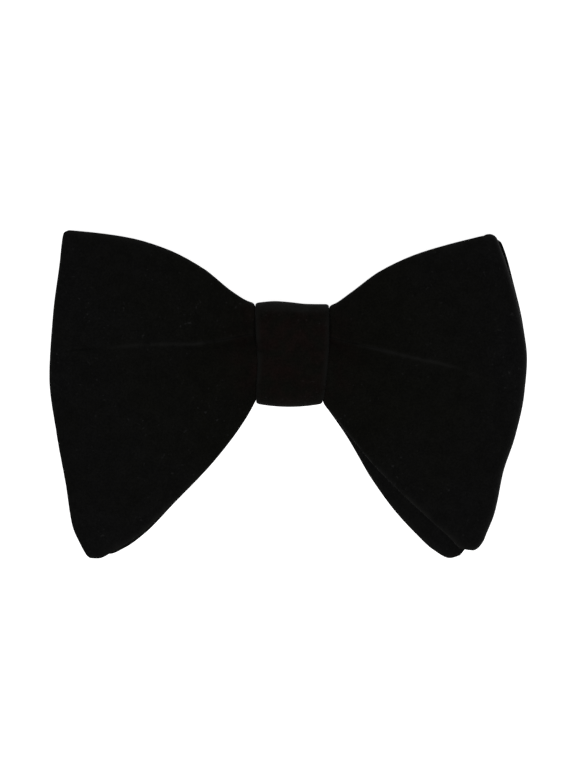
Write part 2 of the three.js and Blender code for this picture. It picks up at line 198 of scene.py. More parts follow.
# Stage, in metres and watts
FLOOR_SIZE = 60.0
FLOOR_BELOW = 0.0002
TABLE_GLOW = 0.95
WORLD_STRENGTH = 0.055  # of the room's light, and of the backdrop as it is seen
BACKDROP_STRENGTH = 1.05
SOFTBOXES = {  # place, size and power
    "softbox in front": ((0.0, -0.7, 3.35), 1.2, 103.0),
    "softbox above": ((0.1, 1.25, 1.1), 0.8, 2.5),
}
LIGHT_AIM = (0, 0, 0.01)
SENSOR = 36.0
CAMERA_Z = 3.0
VIEW_PLANE_Z = 0.02
VIEW_HEIGHT = 0.2581  # what the image's long side takes in at that height
VIEW_MIDDLE_X, VIEW_MIDDLE_Y = -0.000168, 0.00353

# Wings. A section is a line across a wing, from its lower edge to its upper one. Out is the distance
# from the knot's middle and up is the height. Share tells the sections apart: 0 is inside the knot and
# 1 is the outer edge, which bulges and has a table of its own.
SECTION = "share top_out top_up low_out low_up"
INSIDE_KNOT = (
    (0.0, HALVES_GAP / 2, 27.0, HALVES_GAP / 2, -0.2),
    (0.12, 10.4, 27.1, 10.4, -0.5),
)
BULGE_GROWTH = 2.2  # power by which the sections take on the outer edge's bulge
FOLD_SHARE = 0.935  # where two plies start to turn round into their outer fold
EDGE_DROP_POWER = 2.4
# The gather crease: a broad dip that fades near the knot, with a fine fold line in it that runs on.
CREASE_FROM = 12.0  # out from the knot's middle
CREASE = {"depth": 4.4, "width": 4.6, "widens": 0.13, "reach": 27.0}
# The fold line pinches the padding, gently from above and steeply from below, where a thin lip shows.
PINCH = 0.55  # share of the wall's thickness that it takes away at the most
PINCH_ABOVE, PINCH_BELOW = 3.2, 0.6
PINCH_REACH = 36.0
LIP_WIDTH = 0.6
# How strong the painted highlight on that lip is, along the wing: a lighter line where light catches it.
LIP_HIGHLIGHT = table("out worn", (8, 0.7), (16, 0.8), (26, 0.9), (44, 1.0), (56, 0.6), (68, 0.0),
                 (82, 0.0))
# Where the fold line runs on the left wings and on the right ones.
LEFT_CREASE = table("out up", (0, 21.4), (12.7, 20.6), (25.8, 18.4), (35.9, 17.4), (47.6, 17.3),
                    (62.8, 16.0), (82, 14.0))
RIGHT_CREASE = table("out up", (0, 22.7), (16.2, 18.7), (29.6, 15.6), (43.1, 12.5), (51.5, 10.6),
                     (59.9, 7.6), (82, 1.0))

# How the plies rise out of the knot: where their middle lies and how far their edges drop.
PLY = "out z drop"
FRONT_LAYER = ((0, 23.0, 3.6), (12, 23.1, 3.7), (20, 25.0, 4.4))
MIDDLE_LAYER = ((0, 19.8, 3.6), (12, 19.8, 3.7))
BACK_LAYER = ((0, 16.5, 3.2), (12, 16.3, 3.2), (20, 13.4, 3.0), (42, 6.8, 2.6), (64, 3.5, 2.2))

FRONT_WING_LEFT = {
    "side": -1,
    "crease": LEFT_CREASE,
    "tip_sag": 0.8,
    "sections": table(
        SECTION,
        *INSIDE_KNOT,
        (0.15, 12.3, 28.3, 12.3, -1.8),
        (0.157, 12.8, 30.7, 12.75, -2.6),
        (0.18, 14.4, 31.1, 14.2, -5.4),
        (0.25, 20.0, 34.4, 19.5, -13.5),
        (0.37, 30.0, 42.4, 28.5, -24.8),
        (0.52, 42.0, 48.8, 39.5, -35.7),
        (0.67, 54.0, 52.5, 50.5, -46.4),
        (0.8, 64.0, 54.1, 58.5, -51.7),
        (0.92, 71.5, 54.9, 64.9, -55.0),
        (1.0, 74.8, 55.2, 67.7, -54.9),
    ),
    "outer_edge": table("up out", (-54.9, 67.7), (-53.9, 68.8), (-50.2, 70.9), (-43.9, 73.6),
                        (-30, 75.8), (-13.6, 78.8), (6, 81.3), (26.7, 80.1), (44, 77.9), (53.4, 76.8),
                        (54.5, 76.3), (55.2, 74.8)),
    "plies": [
        table(PLY, *FRONT_LAYER, (42, 28.0, 4.4), (64, 27.0, 3.2), (82, 24.0, 2.2)),
    ],
}

FRONT_WING_RIGHT = {
    "side": 1,
    "crease": RIGHT_CREASE,
    "tip_sag": 0.8,
    "sections": table(
        SECTION,
        *INSIDE_KNOT,
        (0.128, 11.0, 27.4, 11.1, -3.0),
        (0.15, 12.45, 28.0, 11.95, -4.2),
        (0.157, 13.1, 29.9, 12.4, -4.8),
        (0.18, 14.4, 30.3, 14.2, -6.8),
        (0.25, 20.0, 34.1, 19.5, -13.4),
        (0.37, 30.0, 41.4, 28.0, -23.7),
        (0.52, 42.0, 47.0, 38.5, -34.2),
        (0.67, 52.5, 50.2, 47.0, -42.0),
        (0.8, 60.5, 52.2, 53.5, -47.6),
        (0.92, 65.0, 53.2, 58.3, -51.8),
        (1.0, 67.0, 53.4, 61.6, -52.1),
    ),
    "outer_edge": table("up out", (-52.1, 61.6), (-49.1, 64.5), (-46.8, 65.35), (-43.9, 66.6),
                        (-40, 68.1), (-36, 69.1), (-26, 71.1), (-13.6, 75.2), (0, 78.15), (12, 79.1),
                        (27, 76.7), (40, 73.3), (48, 70.6), (51.8, 69.2), (52.9, 68.3), (53.4, 67.0)),
    "plies": [
        table(PLY, *FRONT_LAYER, (42, 28.0, 4.2), (64, 27.4, 3.2), (82, 25.4, 2.6)),
        table(PLY, *MIDDLE_LAYER, (20, 19.6, 3.8), (42, 17.8, 1.8), (64, 15.8, -0.6), (82, 15.0, -1.9)),
    ],
}

BACK_WING_LEFT = {
    "side": -1,
    "crease": LEFT_CREASE,
    "tip_sag": 0.2,
    "sections": table(
        SECTION,
        *INSIDE_KNOT,
        (0.15, 12.3, 28.1, 12.3, -1.8),
        (0.157, 12.8, 28.9, 12.75, -2.5),
        (0.18, 14.4, 30.2, 14.2, -5.5),
        (0.25, 20.0, 34.0, 19.5, -13.7),
        (0.37, 30.0, 41.6, 28.5, -24.8),
        (0.52, 42.0, 48.0, 39.5, -36.1),
        (0.67, 54.0, 51.8, 50.0, -46.7),
        (0.8, 63.5, 53.3, 57.0, -51.6),
        (0.92, 70.5, 53.9, 62.5, -53.7),
        (1.0, 74.6, 53.7, 66.0, -53.6),
    ),
    "outer_edge": table("up out", (-53.6, 66.0), (-50, 69.6), (-43, 72.6), (-30, 75.2), (-13, 78.4),
                        (6, 80.6), (26, 79.8), (43, 77.6), (52.5, 75.6), (53.7, 74.6)),
    "plies": [
        table(PLY, *MIDDLE_LAYER, (20, 19.0, 3.8), (42, 16.6, 4.2), (64, 14.0, 4.4), (82, 12.0, 4.5)),
        table(PLY, *BACK_LAYER, (82, 2.75, 1.6)),
    ],
}

BACK_WING_RIGHT = {
    "side": 1,
    "crease": RIGHT_CREASE,
    "tip_sag": 0.9,
    "sections": table(
        SECTION,
        *INSIDE_KNOT,
        (0.128, 11.0, 27.3, 11.1, -3.1),
        (0.15, 12.45, 28.0, 11.95, -4.4),
        (0.157, 13.0, 28.9, 12.4, -5.0),
        (0.18, 14.4, 29.6, 14.2, -7.6),
        (0.25, 20.0, 33.6, 19.5, -15.6),
        (0.37, 30.5, 40.8, 27.0, -28.6),
        (0.52, 43.0, 46.4, 35.0, -39.6),
        (0.67, 54.0, 49.6, 42.0, -47.2),
        (0.8, 62.5, 51.0, 47.5, -52.3),
        (0.92, 67.4, 52.4, 53.3, -55.3),
        (1.0, 69.4, 52.5, 56.8, -54.4),
    ),
    "outer_edge": table("up out", (-54.4, 56.8), (-51, 59.3), (-44, 62.5), (-30, 67.5), (-14, 73.6),
                        (0, 77.9), (12, 79.5), (24, 78.1), (38, 74.9), (48, 72.2), (51.4, 70.8),
                        (52.5, 69.4)),
    "plies": [
        table(PLY, *BACK_LAYER, (82, 2.9, 1.6)),
    ],
}

# The wings' grid. Rows run across a wing, at shares of its length, and columns run along it.
ROWS_BY_KNOT = (0.0, 0.05, 0.1, 0.12, 0.128, 0.139, 0.15, 0.157)  # close where they come out of it
ROWS_FROM, ROW_STEP = 0.172, 0.0185
END_ROWS_FROM = 0.965  # the last even row before the turned edge of an open end
FOLD_STEPS = 18
STEPS_BELOW_CREASE, STEPS_ABOVE_CREASE = 28, 16
# Columns on both sides of the fold line, in millimetres, and how much closer they are inside the knot.
CREASE_COLUMNS = np.array((-3.0, -2.1, -1.4, -0.9, -0.55, -0.25, 0.05, 0.4, 0.9, 1.6, 2.5))
COLUMNS_IN_KNOT = 0.4
COLUMNS_SPREAD = (5, 30)  # out from the knot's middle
CREASE_GUESS, CREASE_ROUNDS = 0.7, 6  # where the fold line is looked for first, and how often again
SLOPE_STEP = 0.002  # along and across, between the places that give the wall's slope

# Small gathers fan out of the knot beside the crease. At is their place across the wing, as a share of
# its height, and reach is how far out they fade.
GATHERS = table(
    "at depth width widens reach",
    (0.16, 0.4, 1.4, 0.13, 10.0),
    (0.36, 0.5, 1.6, 0.13, 13.0),
    (0.54, 0.35, 1.4, 0.13, 10.0),
    (0.88, 0.4, 1.4, 0.13, 8.0),
)


def new_object(name, data):
    made = bpy.data.objects.new(name, data)
    bpy.context.scene.collection.objects.link(made)
    return made


def smoothstep(places, low, high):
    """How far each place is from low to high, from 0 to 1, with a soft start and end."""
    t = np.clip((places - low) / (high - low), 0, 1)
    return t * t * (3 - 2 * t)


def along(rows, by, column, places):
    """A column's value at places between a table's rows, on a smooth curve that never overshoots."""
    x, y = rows[by], rows[column]
    secants = np.diff(y) / np.diff(x)
    before, after = secants[:-1], secants[1:]
    same_way = before * after > 0
    middle = np.where(same_way, 2 * before * after / np.where(same_way, before + after, 1), 0)
    slopes = np.concatenate([secants[:1], middle, secants[-1:]])
    i = np.clip(np.searchsorted(x, places) - 1, 0, len(x) - 2)
    step = x[i + 1] - x[i]
    t = np.clip((places - x[i]) / step, 0, 1)
    square, cube = t * t, t * t * t
    return ((2 * cube - 3 * square + 1) * y[i] + (cube - 2 * square + t) * step * slopes[i]
            + (3 * square - 2 * cube) * y[i + 1] + (cube - square) * step * slopes[i + 1])


# Wings

def plan_of(wing, share, height):
    """A wing's plan, out and up, at shares of its length and of its height."""
    def across(name, place):
        low = along(wing["sections"], "share", "low_" + name, place)
        return low + (along(wing["sections"], "share", "top_" + name, place) - low) * height

    end = np.ones_like(height)
    inset = PLY_THICKNESS / 2 if len(wing["plies"]) > 1 else 0
    bulge = along(wing["outer_edge"], "up", "out", across("up", end)) - across("out", end) - inset
    return across("out", share) + bulge * np.clip(share, 0, 1) ** BULGE_GROWTH, across("up", share)


def height_of(wing, ply, share, height):
    """How high the middle of a ply lies: its rise out of the knot, less sag, edge drop and creases."""
    out, up = plan_of(wing, share, height)
    base = along(ply, "out", "z", out) - wing["tip_sag"] * (share * (1 - height)) ** 2
    drop = along(ply, "out", "drop", out) * np.abs(2 * height - 1) ** EDGE_DROP_POWER
    beyond = np.maximum(out - CREASE_FROM, 0)

    def groove(aside, depth, width, widens, reach):
        return depth * np.exp(-((beyond / reach) ** 2) - (aside / (width + widens * beyond)) ** 2)

    dip = groove(up - along(wing["crease"], "out", "up", out), **CREASE)
    length = along(wing["sections"], "share", "top_up", share) - along(
        wing["sections"], "share", "low_up", share)
    for at, depth, width, widens, reach in zip(*GATHERS.values()):
        dip = dip + groove((height - at) * length, depth, width, widens, reach)
    return base - drop - dip


def middle_of(wing, way, height):
    """The middle of a wing's wall. Way runs from 0 inside the knot to 1 at the outer edge, and in a
    fold on to 2, back inside the knot on the rear ply."""
    share, turn = way, np.zeros_like(way)
    if len(wing["plies"]) > 1:
        turn = np.clip((way - FOLD_SHARE) / (1 - FOLD_SHARE), 0, 2) * math.pi / 2
        share = np.minimum(np.minimum(way, 2 - way), FOLD_SHARE)
    out, up = plan_of(wing, share + (1 - FOLD_SHARE) * np.sin(turn), height)
    zs = [height_of(wing, ply, share, height) for ply in wing["plies"]]
    front, rear = zs[0], zs[-1]
    z = (front + rear) / 2 + (front - rear) / 2 * np.cos(turn)
    return np.stack([out, up, z], axis=-1)


def ways_of(wing):
    """The rows of a wing's grid: their place along it, and how full its wall is there."""
    last = FOLD_SHARE if len(wing["plies"]) > 1 else END_ROWS_FROM
    count = round((last - ROWS_FROM) / ROW_STEP)
    inner = np.concatenate([ROWS_BY_KNOT, np.linspace(ROWS_FROM, last, count + 1)])
    if len(wing["plies"]) > 1:
        fold = np.linspace(FOLD_SHARE, 2 - FOLD_SHARE, FOLD_STEPS + 1)[1:-1]
        ways = np.concatenate([inner, fold, 2 - inner[::-1]])
        return ways, np.ones_like(ways)
    reach = along(wing["sections"], "share", "top_out", 1.0)
    ends = 1 - TURNED_EDGE["inset"][::-1] / reach
    ways = np.concatenate([inner, ends])
    return ways, np.concatenate([np.ones_like(inner), TURNED_EDGE["full"][::-1]])


def crease_place(wing, share):
    """Where the fold line crosses the rows: as a share of their height, and how far out."""
    low = along(wing["sections"], "share", "low_up", share)
    top = along(wing["sections"], "share", "top_up", share)
    height = np.full_like(share, CREASE_GUESS)
    for _ in range(CREASE_ROUNDS):
        out = plan_of(wing, share, height)[0]
        height = (along(wing["crease"], "out", "up", out) - low) / (top - low)
    return height, out


def heights_of(length, crease_at, crease_out):
    """Places across a row of the given length, as shares of it, and how full the wall is there. They are
    close together at both edges and about the fold line."""
    insets, full = TURNED_EDGE["inset"], TURNED_EDGE["full"]
    start = insets[-1] / length
    spread = COLUMNS_IN_KNOT + (1 - COLUMNS_IN_KNOT) * smoothstep(crease_out, *COLUMNS_SPREAD)
    fine = crease_at + CREASE_COLUMNS * spread / length
    below = np.linspace(start, fine[0], STEPS_BELOW_CREASE + 1)[1:-1]
    above = np.linspace(fine[-1], 1 - start, STEPS_ABOVE_CREASE + 1)[1:-1]
    heights = np.concatenate([insets / length, below, fine, above, 1 - insets[::-1] / length])
    return heights, np.concatenate([full, np.ones(len(heights) - 2 * len(full)), full[::-1]])


def wing_grid(wing):
    """A wing's points, the way out of its wall at each, half the wall's thickness, and its marks."""
    ways, end_full = ways_of(wing)
    shares = np.minimum(ways, 2 - ways)
    low = np.stack(plan_of(wing, shares, np.zeros_like(shares)))
    top = np.stack(plan_of(wing, shares, np.ones_like(shares)))
    lengths = np.hypot(*(top - low))
    rows = [heights_of(*row) for row in zip(lengths, *crease_place(wing, shares))]
    heights = np.array([row[0] for row in rows])
    full = np.array([row[1] for row in rows]) * end_full[:, None]
    way = np.repeat(ways[:, None], heights.shape[1], axis=1)
    points = middle_of(wing, way, heights)
    step = SLOPE_STEP
    forward = middle_of(wing, way + step, heights) - middle_of(wing, way - step, heights)
    across = middle_of(wing, way, heights + step) - middle_of(wing, way, heights - step)
    normals = square_to(forward, across)

    # The wall's thickness: pressed inside the knot, and pinched along the fold line.
    release = smoothstep(points[..., 0], RELEASED_FROM, RELEASED_TO)
    thickness = GATHERED_THICKNESS + (PLY_THICKNESS - GATHERED_THICKNESS) * release
    aside = points[..., 1] - along(wing["crease"], "out", "up", points[..., 0])
    pinch = np.exp(-((aside / np.where(aside > 0, PINCH_ABOVE, PINCH_BELOW)) ** 2))
    beyond = np.maximum(points[..., 0] - CREASE_FROM, 0)
    thickness = thickness * (1 - PINCH * pinch * np.exp(-((beyond / PINCH_REACH) ** 2)))

    # Marks, by the distance from the wing's sides and from its outer edge.
    from_side = np.minimum(heights, 1 - heights) * lengths[:, None]
    reach = along(wing["sections"], "share", "top_out", 1.0)
    from_end = np.abs(1 - ways)[:, None] * reach
    loose = smoothstep(points[..., 0], LOOSE_FROM, LOOSE_TO) * (
        SEAM_ROOM + (1 - SEAM_ROOM) * smoothstep(from_side, 0, SEAM_HOLDS)
        * smoothstep(from_end, 0, SEAM_HOLDS))
    # A painted highlight along the lip under the fold line, a lighter line where light would catch it.
    lip_highlight = np.exp(-(((aside + LIP_WIDTH) / LIP_WIDTH) ** 2))
    lip_highlight = lip_highlight * along(LIP_HIGHLIGHT, "out", "worn", points[..., 0])
    # Along the turned edges the pile opens and is painted lighter, as a painted highlight.
    edge = from_side if len(wing["plies"]) > 1 else np.minimum(from_side, from_end)
    worn = np.maximum(lip_highlight, np.exp(-((edge / EDGE_WEAR_AND_HIGHLIGHT_WIDTH) ** 2)))
    return points, normals, thickness / 2 * full, {"loose": [loose, loose], "worn": [worn, worn]}


def square_to(forward, across):
    """The way out of a wall, square to the ways along it and across it."""
    out = np.cross(forward, across)
    return out / np.linalg.norm(out, axis=-1, keepdims=True)


def wall_faces(rows, columns, ring, thick_sides):
    """The quads of a closed wall about a grid: its outer points come first, then its inner ones. A ring
    has no ends, and a wall with seams along its sides needs no faces there."""
    def corner(side, i, j):
        return (side * rows + i % rows) * columns + j

    quads = []
    for i in range(rows if ring else rows - 1):
        for j in range(columns - 1):
            quads.append([corner(0, i, j), corner(0, i + 1, j), corner(0, i + 1, j + 1),
                          corner(0, i, j + 1)])
            quads.append([corner(1, i, j), corner(1, i, j + 1), corner(1, i + 1, j + 1),
                          corner(1, i + 1, j)])
    if not ring:
        end = rows - 1
        for j in range(columns - 1):
            quads.append([corner(0, 0, j), corner(0, 0, j + 1), corner(1, 0, j + 1), corner(1, 0, j)])
            quads.append([corner(0, end, j), corner(1, end, j), corner(1, end, j + 1),
                          corner(0, end, j + 1)])
    if thick_sides:
        far = columns - 1
        for i in range(rows - 1):
            quads.append([corner(0, i, 0), corner(1, i, 0), corner(1, i + 1, 0), corner(0, i + 1, 0)])
            quads.append([corner(0, i, far), corner(0, i + 1, far), corner(1, i + 1, far),
                          corner(1, i, far)])
    return quads


def wall_piece(name, points, normals, halves, marks=None, ring=False, thick_sides=False):
    """A closed wall about a grid of points, as an object. The seams, where it has no thickness, close.
    Each mark gives every point of its outer and inner side a number from 0 to 1. Loose is how free the
    cloth is to move, for simulated(), and the other mark is how far its pile has opened, with the painted
    highlight laid on it, for velvet()."""
    rows, columns = halves.shape
    offset = normals * halves[..., None]
    vertices = np.concatenate([points + offset, points - offset]).reshape(-1, 3) * MILLIMETRE
    mesh = bpy.data.meshes.new(name)
    mesh.from_pydata(vertices.tolist(), [], wall_faces(rows, columns, ring, thick_sides))
    for mark, values in (marks or {}).items():
        layer = mesh.attributes.new(mark, "FLOAT", "POINT")
        layer.data.foreach_set("value", np.ravel(values).astype(np.float32))
    close_seams(mesh)
    return new_object(name, mesh)


def close_seams(mesh):
    """Merges the points that a seam brings together, and turns all faces outwards."""
    work = bmesh.new()
    work.from_mesh(mesh)
    bmesh.ops.remove_doubles(work, verts=work.verts, dist=SEAM_MERGE * MILLIMETRE)
    bmesh.ops.recalc_face_normals(work, faces=work.faces)
    work.to_mesh(mesh)
    work.free()
    mesh.polygons.foreach_set("use_smooth", [True] * len(mesh.polygons))


def wing_piece(name, wing):
    points, normals, halves, marks = wing_grid(wing)
    mirror = np.array([wing["side"], 1, 1])
    points, normals = points * mirror, normals * mirror
    points[..., 0] += KNOT_MIDDLE_X
    return wall_piece(name, points, normals, halves, marks)


# Knot band

def rounded_rectangle(half_wide, half_high, corner, count):
    """Evenly spaced points round a rectangle with round corners, and the way out at each."""
    quarter = np.linspace(0, math.pi / 2, KNOT_CORNER_STEPS + 1)
    angles = np.concatenate([quarter + turns * math.pi / 2 for turns in range(4)])
    outward = np.stack([np.cos(angles), np.sin(angles)], axis=1)
    signs = np.repeat([(1, 1), (-1, 1), (-1, -1), (1, -1)], len(quarter), axis=0)
    points = signs * [half_wide - corner, half_high - corner] + corner * outward
    points, outward = np.vstack([points, points[:1]]), np.vstack([outward, outward[:1]])
    length = np.concatenate([[0], np.cumsum(np.hypot(*np.diff(points, axis=0).T))])
    places = np.linspace(0, length[-1], count, endpoint=False)
    points = np.stack([np.interp(places, length, column) for column in points.T], axis=1)
    outward = np.stack([np.interp(places, length, column) for column in outward.T], axis=1)
    return points, outward / np.linalg.norm(outward, axis=1, keepdims=True)


def knot_grid():
    """The knot band's points, the way out of its wall at each, half the wall's thickness, and marks."""
    half_up = (KNOT_HEIGHT - KNOT_WALL) / 2
    half_deep = (KNOT_FRONT - KNOT_BACK - KNOT_WALL) / 2
    ring, outward = rounded_rectangle(half_up, half_deep, KNOT_CORNER, KNOT_STEPS_ROUND)
    up = ring[:, 0] + KNOT_MIDDLE_Y
    left, right = along(KNOT_RIMS, "up", "left", up), along(KNOT_RIMS, "up", "right", up)
    wide = left + right
    insets, full = FOLDED_RIM["inset"], FOLDED_RIM["full"]
    start = insets[-1] / wide[:, None]
    even = np.linspace(0, 1, KNOT_STEPS_ACROSS + 1)[1:-1]
    shares = np.concatenate([insets / wide[:, None], start + (1 - 2 * start) * even,
                             1 - insets[::-1] / wide[:, None]], axis=1)
    full = np.concatenate([full, np.ones_like(even), full[::-1]])
    x = shares * wide[:, None] - left[:, None]
    from_middle = (2 * shares - 1) ** 2

    # How the wall rises and dips: its crown, the wave along its top, the soft folds and the seam.
    near_top = smoothstep(ring[:, :1] / half_up, *KNOT_ENDS)
    near_low = smoothstep(-ring[:, :1] / half_up, *KNOT_ENDS)
    rise = along(KNOT_TOP_WAVE, "across", "rise", x) * near_top
    rise = rise - (KNOT_CROWN + KNOT_LOW_CROWN * near_low) * from_middle
    in_front = smoothstep(outward[:, 1:], *KNOT_FACE)
    for across, at_up, depth, width, reach in zip(*KNOT_FOLDS.values()):
        fold = np.exp(-(((x - across) / width) ** 2) - ((up[:, None] - at_up) / reach) ** 2)
        rise = rise - depth * fold * in_front
    from_seam = np.hypot(*(ring - ring[round(KNOT_SEAM * KNOT_STEPS_ROUND)]).T)[:, None]
    seam = np.exp(-((from_seam / SEAM_WIDTH) ** 2))
    rise = rise - SEAM_DEPTH * seam

    deep_middle = (KNOT_FRONT + KNOT_BACK) / 2
    points = np.stack([x + KNOT_MIDDLE_X, up[:, None] + outward[:, :1] * rise,
                       deep_middle + ring[:, 1:] + outward[:, 1:] * rise], axis=-1)
    normals = square_to(np.roll(points, -1, axis=0) - np.roll(points, 1, axis=0),
                        np.gradient(points, axis=1))
    wall = (KNOT_WALL + (KNOT_RIM_WALL - KNOT_WALL) * from_middle) * (1 - SEAM_PINCH * seam)
    from_rim = np.minimum(shares, 1 - shares) * wide[:, None]
    loose = KNOT_LOOSE * in_front * smoothstep(from_rim, 0, KNOT_RIM_HOLDS)
    # Along the rims the pile opens and carries a painted highlight; along the seam it only opens.
    worn = np.maximum(np.exp(-((from_rim / EDGE_WEAR_AND_HIGHLIGHT_WIDTH) ** 2)), SEAM_WEAR * seam)
    # A painted highlight over the bend at the top, where the band faces up towards the light.
    worn = np.maximum(worn, KNOT_TOP_HIGHLIGHT * smoothstep(outward[:, :1], *KNOT_TOP))
    marks = {"loose": [loose, np.zeros_like(loose)], "worn": [worn, worn]}
    return points, normals, wall / 2 * full, marks


def knot_piece(name):
    return wall_piece(name, *knot_grid(), ring=True)


# Collar clip

def clip_piece(name):
    """A strip of sheet steel bent into a hook: a flat leg, a round bend over the collar, a flat leg."""
    bend_radius = (CLIP_GAP + CLIP_THICKNESS) / 2
    rear_z = CLIP_THICKNESS / 2
    front_z = rear_z + 2 * bend_radius
    corner = np.array(CLIP_CORNER_STEPS) * CLIP_END_RADIUS
    half = CLIP_HALF_WIDTH - CLIP_END_RADIUS + np.sqrt(
        CLIP_END_RADIUS ** 2 - (CLIP_END_RADIUS - corner) ** 2)
    turn = np.linspace(0, math.pi, CLIP_BEND_STEPS + 1)
    ys = np.concatenate([CLIP_FRONT_END_Y + corner, CLIP_BEND_Y + bend_radius * np.sin(turn),
                         (CLIP_REAR_END_Y + corner)[::-1]])
    zs = np.concatenate([np.full_like(corner, front_z), rear_z + bend_radius * (1 + np.cos(turn)),
                         np.full_like(corner, rear_z)])
    halves = np.concatenate([half, np.full_like(turn, CLIP_HALF_WIDTH), half[::-1]])
    outward = np.concatenate([[(0, 1)] * len(corner), np.stack([np.sin(turn), np.cos(turn)], axis=1),
                              [(0, -1)] * len(corner)])
    sides = np.array([-1, 1])
    points = np.stack([KNOT_MIDDLE_X + sides * halves[:, None],
                       np.repeat(ys[:, None], 2, axis=1), np.repeat(zs[:, None], 2, axis=1)], axis=-1)
    normals = np.zeros_like(points)
    normals[..., 1:] = outward[:, None, :]
    wall = np.full(points.shape[:2], CLIP_THICKNESS / 2)
    piece = wall_piece(name, points, normals, wall, thick_sides=True)
    edges = piece.modifiers.new("worn edges", "BEVEL")
    edges.width = CLIP_EDGE * MILLIMETRE
    edges.segments = CLIP_EDGE_STEPS
    edges.limit_method = "ANGLE"
    edges.angle_limit = math.radians(CLIP_EDGE_ANGLE)
    edges.harden_normals = True  # the flats of the strip stay flat
    return piece


# Hand sewing

def hand_stitches():
    """Stitches along a path: each is a short arch of thread, square to the path, that dips into the
    cloth at both ends. The path's points carry the attribute out, the way out of the cloth."""
    tree = bpy.data.node_groups.new("hand stitches", "GeometryNodeTree")
    tree.interface.new_socket(name="Path", in_out="INPUT", socket_type="NodeSocketGeometry")
    for name in ("Spacing", "Length", "Thickness", "Rise", "Dip", "Squareness", "Slant"):
        tree.interface.new_socket(name=name, in_out="INPUT", socket_type="NodeSocketFloat")
    tree.interface.new_socket(name="Thread", in_out="INPUT", socket_type="NodeSocketMaterial")
    tree.interface.new_socket(name="Stitches", in_out="OUTPUT", socket_type="NodeSocketGeometry")
    given = add_node(tree, "NodeGroupInput").outputs

    # One stitch, across its own Y and standing up along its own Z.
    line = add_node(tree, "GeometryNodeCurvePrimitiveLine", None, {
        "Start": (0, -0.5, 0), "End": (0, 0.5, 0)})
    count = add_node(tree, "ShaderNodeMath", {"operation": "ADD"}, {
        0: given["Squareness"], 1: STITCH_STEPS})
    points = add_node(tree, "GeometryNodeResampleCurve", {"mode": "COUNT"}, {
        "Curve": line, "Count": count})
    place = add_node(tree, "GeometryNodeInputPosition")
    across = add_node(tree, "ShaderNodeSeparateXYZ", None, {"Vector": place}).outputs["Y"]
    aside = add_node(tree, "ShaderNodeMath", {"operation": "ABSOLUTE"}, {0: across})
    share = add_node(tree, "ShaderNodeMath", {"operation": "MULTIPLY"}, {0: aside, 1: 2.0})
    fall = add_node(tree, "ShaderNodeMath", {"operation": "POWER"}, {0: share, 1: given["Squareness"]})
    depth = add_node(tree, "ShaderNodeMath", {"operation": "ADD"}, {0: given["Rise"], 1: given["Dip"]})
    fallen = add_node(tree, "ShaderNodeMath", {"operation": "MULTIPLY"}, {0: fall, 1: depth})
    arch = add_node(tree, "ShaderNodeCombineXYZ", None, {
        "Y": add_node(tree, "ShaderNodeMath", {"operation": "MULTIPLY"}, {
            0: across, 1: given["Length"]}),
        "Z": add_node(tree, "ShaderNodeMath", {"operation": "SUBTRACT"}, {
            0: given["Rise"], 1: fallen})})
    bent = add_node(tree, "GeometryNodeSetPosition", None, {"Geometry": points, "Position": arch})
    radius = add_node(tree, "ShaderNodeMath", {"operation": "MULTIPLY"}, {
        0: given["Thickness"], 1: 0.5})
    round_thread = add_node(tree, "GeometryNodeCurvePrimitiveCircle", None, {
        "Resolution": THREAD_SIDES, "Radius": radius})
    stitch = add_node(tree, "GeometryNodeCurveToMesh", None, {
        "Curve": bent, "Profile Curve": round_thread, "Fill Caps": True})

    # The row of them along the path, each a little aslant.
    path = add_node(tree, "GeometryNodeMeshToCurve", None, {"Mesh": given["Path"]})
    places = add_node(tree, "GeometryNodeResampleCurve", {"mode": "LENGTH"}, {
        "Curve": path, "Length": given["Spacing"]})
    out = add_node(tree, "GeometryNodeInputNamedAttribute", {"data_type": "FLOAT_VECTOR"}, {
        "Name": "out"})
    upright = add_node(tree, "FunctionNodeAlignRotationToVector", {"axis": "Z"}, {"Vector": out})
    along_path = add_node(tree, "FunctionNodeAlignRotationToVector", {"axis": "X", "pivot_axis": "Z"}, {
        "Rotation": upright, "Vector": add_node(tree, "GeometryNodeInputTangent")})
    other_way = add_node(tree, "ShaderNodeMath", {"operation": "MULTIPLY"}, {
        0: given["Slant"], 1: -1.0})
    chance = add_node(tree, "FunctionNodeRandomValue", {"data_type": "FLOAT"}, {
        "Min": other_way, "Max": given["Slant"], "Seed": STITCH_SEED})
    slant = add_node(tree, "FunctionNodeAxisAngleToRotation", None, {
        "Axis": (0, 0, 1), "Angle": chance})
    turned = add_node(tree, "FunctionNodeRotateRotation", {"rotation_space": "LOCAL"}, {
        "Rotation": along_path, "Rotate By": slant})
    row = add_node(tree, "GeometryNodeInstanceOnPoints", None, {
        "Points": places, "Instance": stitch, "Rotation": turned})
    real = add_node(tree, "GeometryNodeRealizeInstances", None, {"Geometry": row})
    coloured = add_node(tree, "GeometryNodeSetMaterial", None, {
        "Geometry": real, "Material": given["Thread"]})
    add_node(tree, "NodeGroupOutput", None, {"Stitches": coloured})
    return tree


